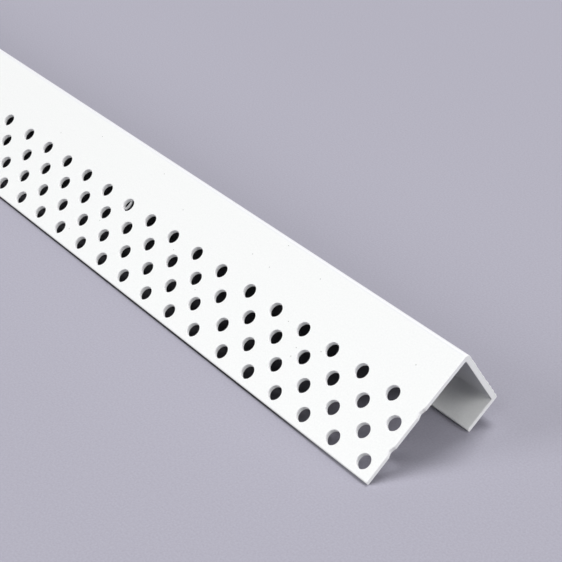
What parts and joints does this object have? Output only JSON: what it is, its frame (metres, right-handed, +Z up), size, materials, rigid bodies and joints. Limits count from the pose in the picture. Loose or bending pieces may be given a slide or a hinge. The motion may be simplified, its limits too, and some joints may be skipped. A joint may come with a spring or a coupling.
{
  "type": "drywall j bead",
  "caption": "Extruded white PVC J bead: a wide perforated flange, a web as deep as the board and a short lip, lying on its two free edges.",
  "frame": {"origin": "centre of the bounding box in X and Y, on the floor it lies on", "axes": "+X along the length towards the end with the sawn-through holes, +Y from the flange's free edge towards the web, +Z up"},
  "size_m": [1, 0.0366, 0.0209],
  "materials": {
    "white_pvc": "satin"
  },
  "bodies": {
    "root": {"j_bead": "white_pvc"}
  },
  "joints": []
}
